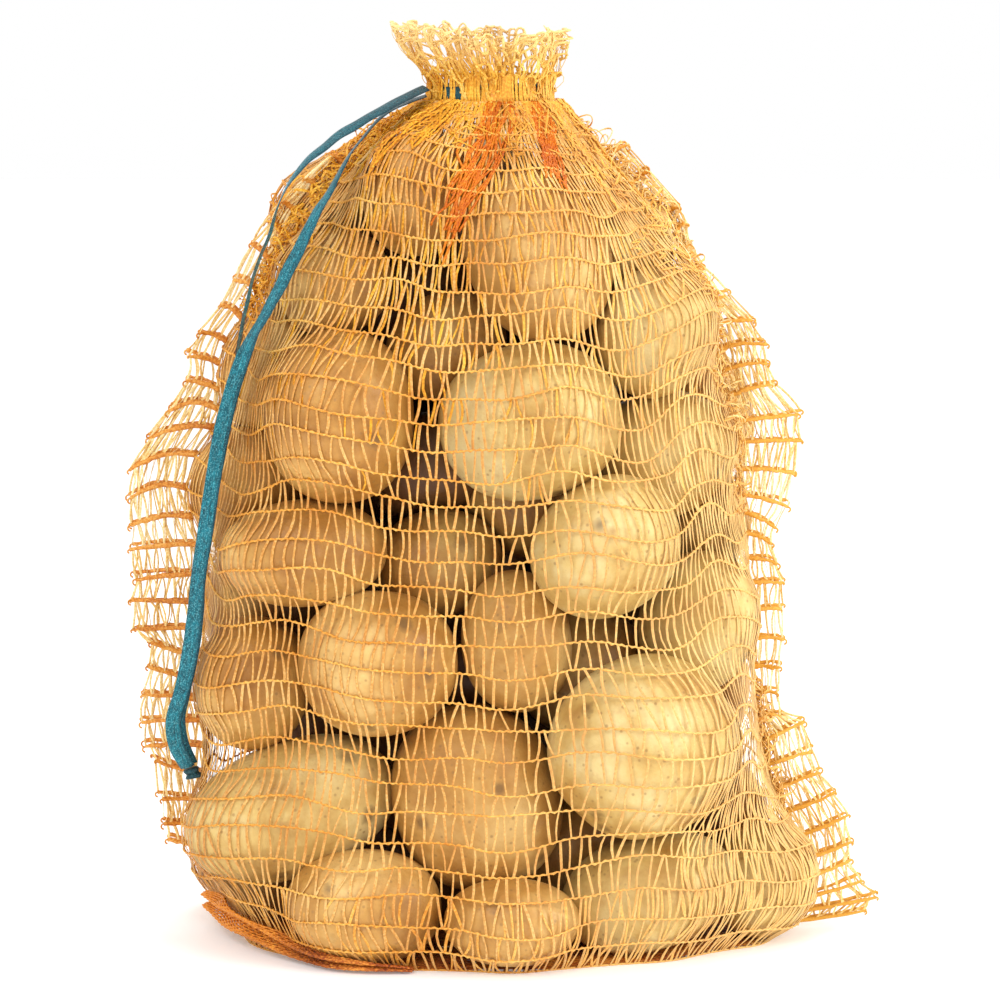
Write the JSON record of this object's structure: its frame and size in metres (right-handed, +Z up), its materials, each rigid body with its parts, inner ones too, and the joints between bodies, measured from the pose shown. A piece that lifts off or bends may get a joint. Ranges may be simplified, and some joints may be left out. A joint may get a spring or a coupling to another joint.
{
  "type": "mesh sack of potatoes",
  "caption": "Knitted mesh sack filled with potatoes, standing upright, gathered at the neck by a flat draw tape under a short flared mouth, with loose net selvedges down both sides.",
  "frame": {"origin": "on the floor, in the plane of the flat base, below the gathered neck", "axes": "+Z up, -Y towards the front face that the draw tape hangs over, +X towards the flared right selvedge"},
  "size_m": [0.3806, 0.2124, 0.4553],
  "materials": {
    "net": "knitted flat plastic yarn, translucent orange with a satin shine",
    "selvedge": "doubled knitted plastic yarn, orange to orange brown, satin",
    "tape": "teal blue flat tape with fine lengthwise ribs, slightly glossy",
    "potato": "washed yellow potato skin, satin, with brown specks and shallow eyes"
  },
  "bodies": {
    "root": {"net_body": "net", "mouth_frill": "net", "left_frill": "selvedge", "right_frill": "selvedge", "bottom_hem": "selvedge", "neck_tie": "tape", "tape_back_strand": "tape", "tape_front_strand": "tape", "tape_seal": "tape", "potato_01": "potato", "potato_02": "potato", "potato_03": "potato", "potato_04": "potato", "potato_05": "potato", "potato_06": "potato", "potato_07": "potato", "potato_08": "potato", "potato_09": "potato", "potato_10": "potato", "potato_11": "potato", "potato_12": "potato", "potato_13": "potato", "potato_14": "potato", "potato_15": "potato", "potato_16": "potato", "potato_17": "potato", "potato_18": "potato", "potato_19": "potato", "potato_20": "potato", "potato_21": "potato", "potato_22": "potato", "potato_23": "potato", "potato_24": "potato", "potato_25": "potato", "potato_26": "potato", "potato_27": "potato", "potato_28": "potato", "potato_29": "potato", "potato_30": "potato", "potato_31": "potato", "potato_32": "potato", "potato_33": "potato", "potato_34": "potato", "potato_35": "potato", "potato_36": "potato", "potato_37": "potato", "potato_38": "potato", "potato_39": "potato", "potato_40": "potato", "potato_41": "potato", "potato_42": "potato", "potato_43": "potato", "potato_44": "potato", "potato_45": "potato", "potato_46": "potato", "potato_47": "potato", "potato_48": "potato", "potato_49": "potato", "potato_50": "potato"}
  },
  "joints": []
}
